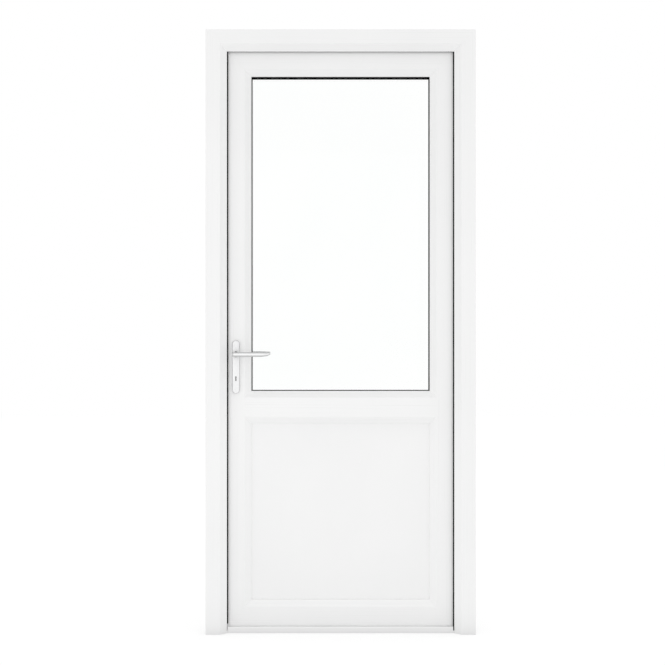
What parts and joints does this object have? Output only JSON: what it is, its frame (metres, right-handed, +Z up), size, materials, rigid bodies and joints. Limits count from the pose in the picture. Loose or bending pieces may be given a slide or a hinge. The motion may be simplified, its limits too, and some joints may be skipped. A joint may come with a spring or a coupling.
{
  "type": "half glazed door",
  "caption": "White half glazed door in its frame: clear glass above, flat panel below, lever handles on long plates, low threshold. The leaf swings inwards on flag hinges.",
  "frame": {"origin": "floor level under the threshold, halfway across the doorway and halfway through the frame's depth", "axes": "+X to the right seen from outside, +Y from outside to inside, +Z up"},
  "size_m": [0.92, 0.181, 2.06],
  "materials": {
    "profile_white": "smooth white extruded plastic",
    "panel_white": "smooth white flat panel",
    "threshold_white": "white coated low threshold",
    "seal_black": "black rubber seal",
    "seal_white": "white rubber seal",
    "spacer_black": "black spacer between the panes",
    "clear_glass": "clear float glass",
    "handle_chrome": "bright polished chrome plate",
    "hinge_white": "white coating",
    "lock_steel": "brushed stainless steel",
    "cylinder_nickel": "satin nickel plate"
  },
  "bodies": {
    "frame": {"frame_head": "profile_white", "frame_lock_jamb": "profile_white", "frame_hinge_jamb": "profile_white", "threshold": "threshold_white", "frame_seal": "seal_black", "latch_keep": "lock_steel", "upper_hook_keep": "lock_steel", "lower_hook_keep": "lock_steel", "hinge_bracket_top": "hinge_white", "hinge_bracket_middle": "hinge_white", "hinge_bracket_bottom": "hinge_white", "hinge_pin_top": "lock_steel", "hinge_pin_middle": "lock_steel", "hinge_pin_bottom": "lock_steel"},
    "leaf": {"lock_stile": "profile_white", "hinge_stile": "profile_white", "top_rail": "profile_white", "mid_rail": "profile_white", "bottom_rail": "profile_white", "leaf_seal": "seal_black", "lock_faceplate": "lock_steel", "lock_bolts": "lock_steel", "lock_cylinder": "cylinder_nickel", "handle_plate_outside": "handle_chrome", "handle_plate_inside": "handle_chrome", "outer_pane": "clear_glass", "inner_pane": "clear_glass", "spacer_bar": "spacer_black", "glass_seals": "seal_black", "lower_panel": "panel_white", "panel_seals": "seal_white", "glass_bead_lock_side": "profile_white", "glass_bead_hinge_side": "profile_white", "glass_bead_top": "profile_white", "glass_bead_bottom": "profile_white", "panel_bead_lock_side": "profile_white", "panel_bead_hinge_side": "profile_white", "panel_bead_top": "profile_white", "panel_bead_bottom": "profile_white", "hinge_flag_top": "hinge_white", "hinge_flag_middle": "hinge_white", "hinge_flag_bottom": "hinge_white"},
    "levers": {"lever_outside": "handle_chrome", "lever_inside": "handle_chrome", "lever_spindle": "lock_steel"}
  },
  "joints": [
    {"name": "leaf_swing", "type": "hinge", "parent": "frame", "child": "leaf", "pos_m": [0.433, 0.071, 1.0085], "axis": [0, 0, -1], "range_deg": [0, 100]},
    {"name": "lever_turn", "type": "hinge", "parent": "leaf", "child": "levers", "pos_m": [-0.3585, 0.032, 0.9535], "axis": [0, 1, 0], "range_deg": [-40, 40], "stiffness_Nm_per_rad": 2.5, "springref_deg": -1.87}
  ]
}
